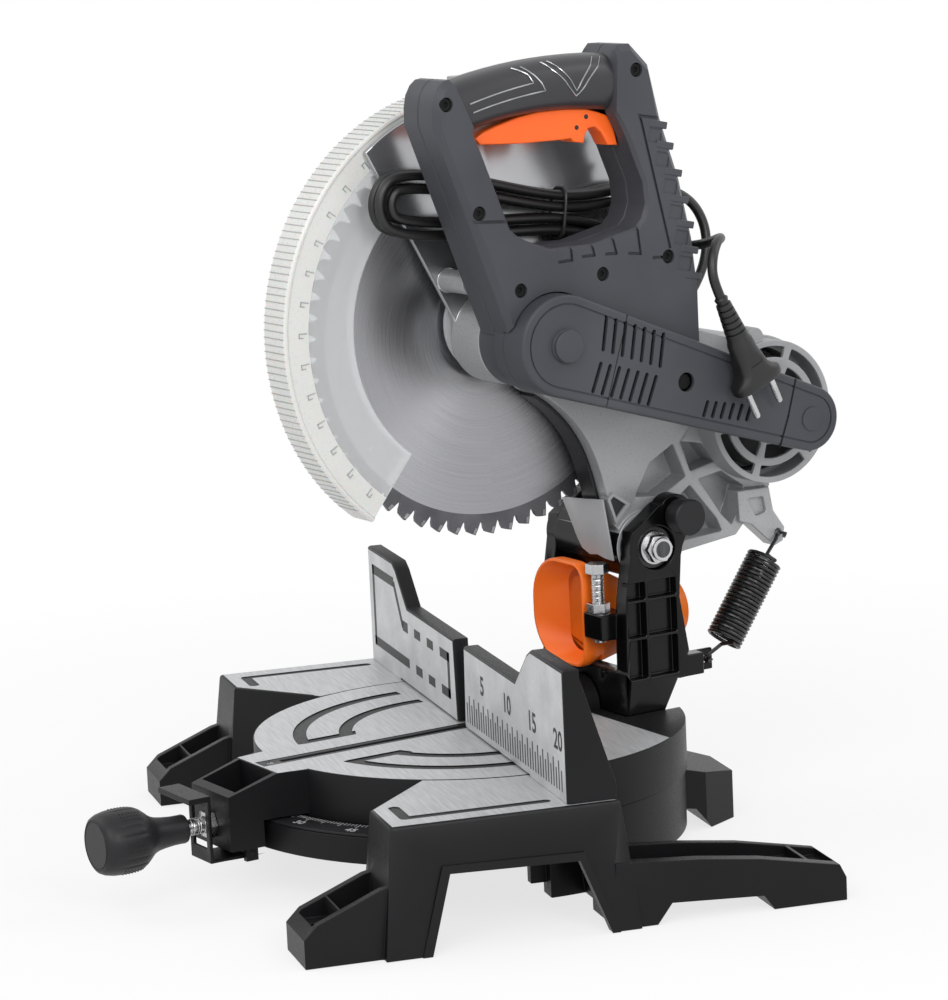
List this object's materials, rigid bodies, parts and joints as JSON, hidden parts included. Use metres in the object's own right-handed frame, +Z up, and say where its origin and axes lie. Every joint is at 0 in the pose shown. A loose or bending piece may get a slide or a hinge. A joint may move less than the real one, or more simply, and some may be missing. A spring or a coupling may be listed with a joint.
{
  "type": "miter saw",
  "caption": "Bench miter saw: die-cast base with turntable, two-part fence, tilting bracket and a sprung belt-driven chop head with a D handle, clear lower guard and coiled mains lead.",
  "frame": {"origin": "on the miter axis, at bench level, in the middle of the four bench bolt holes", "axes": "+X to the user's right along the fence, +Y to the rear, +Z up; the turntable is stored turned 15 degrees"},
  "size_m": [0.45, 0.5145, 0.5],
  "materials": {
    "black_casting": "satin black paint over a die casting, fine cast texture",
    "table_face": "black casting with a ground silver face",
    "fence_face": "ground silver face, black back",
    "grey_casting": "light grey paint over die casting",
    "bright_steel": "bright zinc",
    "blade_steel": "radially brushed",
    "black_plastic": "fine-textured black plastic",
    "orange_plastic": "orange plastic",
    "clear_guard": "milky clear plastic",
    "rubber": "black rubber",
    "spring_black": "black spring wire",
    "copper": "wound copper and laminations",
    "grey_flap": "grey flap"
  },
  "bodies": {
    "base": {"base_casting": "black_casting", "miter_scale": "black_plastic", "scale_screws": "bright_steel", "fence_right": "fence_face", "fence_bolts": "bright_steel"},
    "left_fence": {"fence_left": "fence_face"},
    "fence_clamp": {"fence_clamp_knob": "black_plastic"},
    "table": {"turntable": "table_face", "kerf_insert": "black_plastic", "insert_screws": "bright_steel", "arm_screw": "bright_steel", "miter_pivot_bolt": "bright_steel", "miter_pivot_nut": "bright_steel", "bevel_pivot_bolt": "bright_steel", "stud_nut": "bright_steel"},
    "lock_knob": {"miter_lock_knob": "black_plastic", "miter_lock_stud": "bright_steel"},
    "detent": {"detent_lever": "black_casting"},
    "bracket": {"bevel_bracket": "black_casting", "depth_stop_bolt": "bright_steel", "depth_stop_nut": "bright_steel", "head_pivot_bolt": "bright_steel", "head_pivot_nut": "bright_steel", "pivot_washers": "bright_steel", "dust_chute": "orange_plastic", "return_spring": "spring_black"},
    "bevel_lever": {"bevel_lock_lever": "black_plastic"},
    "lock_pin": {"head_lock_pin": "bright_steel", "head_lock_knob": "black_plastic"},
    "head": {"arm_casting": "grey_casting", "upper_guard": "grey_casting", "edge_strip": "rubber", "dust_flap": "grey_flap", "motor_housing": "black_plastic", "motor_end_cap": "grey_casting", "motor_stator": "copper", "ball_bearings": "bright_steel", "drive_belt": "rubber", "belt_cover": "black_plastic", "cover_screw": "bright_steel", "handle_left": "black_plastic", "handle_right": "black_plastic", "handle_screws": "bright_steel", "power_switch": "black_plastic", "strain_relief": "rubber", "cord_lead": "rubber", "cord_hank": "rubber", "cord_tail": "rubber", "plug": "rubber"},
    "trigger": {"trigger": "orange_plastic"},
    "spindle": {"saw_blade": "blade_steel", "blade_flanges": "bright_steel", "arbor_bolt": "bright_steel", "spindle_shaft": "bright_steel", "driven_pulley": "bright_steel"},
    "rotor": {"armature": "copper", "cooling_fan": "black_plastic", "drive_pulley": "bright_steel"},
    "guard": {"lower_guard": "clear_guard"}
  },
  "joints": [
    {"name": "fence_slide", "type": "slide", "parent": "base", "child": "left_fence", "axis": [-1, 0, 0], "range_m": [0, 0.047]},
    {"name": "fence_clamp_turn", "type": "hinge", "parent": "base", "child": "fence_clamp", "pos_m": [-0.2, 0.015, 0.085], "axis": [0, 0, 1], "range_deg": [0, 180]},
    {"name": "miter_turn", "type": "hinge", "parent": "base", "child": "table", "pos_m": [0, 0, 0.05], "axis": [0, 0, 1], "range_deg": [-60, 30]},
    {"name": "miter_lock_turn", "type": "hinge", "parent": "table", "child": "lock_knob", "pos_m": [0.05953, -0.22216, 0.0455], "axis": [0.2588, -0.9659, 0], "range_deg": [0, 270]},
    {"name": "detent_press", "type": "hinge", "parent": "table", "child": "detent", "pos_m": [0.04348, -0.16228, 0.0264], "axis": [0.9659, 0.2588, 0], "range_deg": [0, 5], "stiffness_Nm_per_rad": 6, "springref_deg": -5.73},
    {"name": "bevel_tilt", "type": "hinge", "parent": "table", "child": "bracket", "pos_m": [-0.02588, 0.09659, 0.076], "axis": [-0.2588, 0.9659, 0], "range_deg": [-45, 0]},
    {"name": "bevel_lever_turn", "type": "hinge", "parent": "table", "child": "bevel_lever", "pos_m": [-0.03235, 0.12074, 0.076], "axis": [0.2588, -0.9659, 0], "range_deg": [0, 30]},
    {"name": "lock_pin_pull", "type": "slide", "parent": "bracket", "child": "lock_pin", "axis": [0.9659, 0.2588, 0], "range_m": [0, 0.01]},
    {"name": "head_chop", "type": "hinge", "parent": "bracket", "child": "head", "pos_m": [-0.02964, 0.1106, 0.1805], "axis": [0.9659, 0.2588, 0], "range_deg": [0, 55], "stiffness_Nm_per_rad": 12, "springref_deg": -68.75, "deforming": ["return_spring", "dust_flap"]},
    {"name": "trigger_squeeze", "type": "hinge", "parent": "head", "child": "trigger", "pos_m": [0.0425, 0.07899, 0.4586], "axis": [-0.9659, -0.2588, 0], "range_deg": [0, 6], "stiffness_Nm_per_rad": 2, "springref_deg": -5.73},
    {"name": "blade_spin", "type": "hinge", "parent": "head", "child": "spindle", "pos_m": [-0.00613, 0.02289, 0.3232], "axis": [0.9659, 0.2588, 0], "continuous": true},
    {"name": "rotor_spin", "type": "hinge", "parent": "head", "child": "rotor", "pos_m": [-0.05319, 0.1985, 0.257], "axis": [0.9659, 0.2588, 0], "continuous": true},
    {"name": "guard_open", "type": "hinge", "parent": "head", "child": "guard", "pos_m": [-0.00613, 0.02289, 0.3305], "axis": [-0.9659, -0.2588, 0], "range_deg": [0, 100]}
  ],
  "couplings": [
    {"joint": "rotor_spin", "follows": "blade_spin", "ratio": 2.6667},
    {"joint": "guard_open", "follows": "head_chop", "ratio": 1.818}
  ]
}
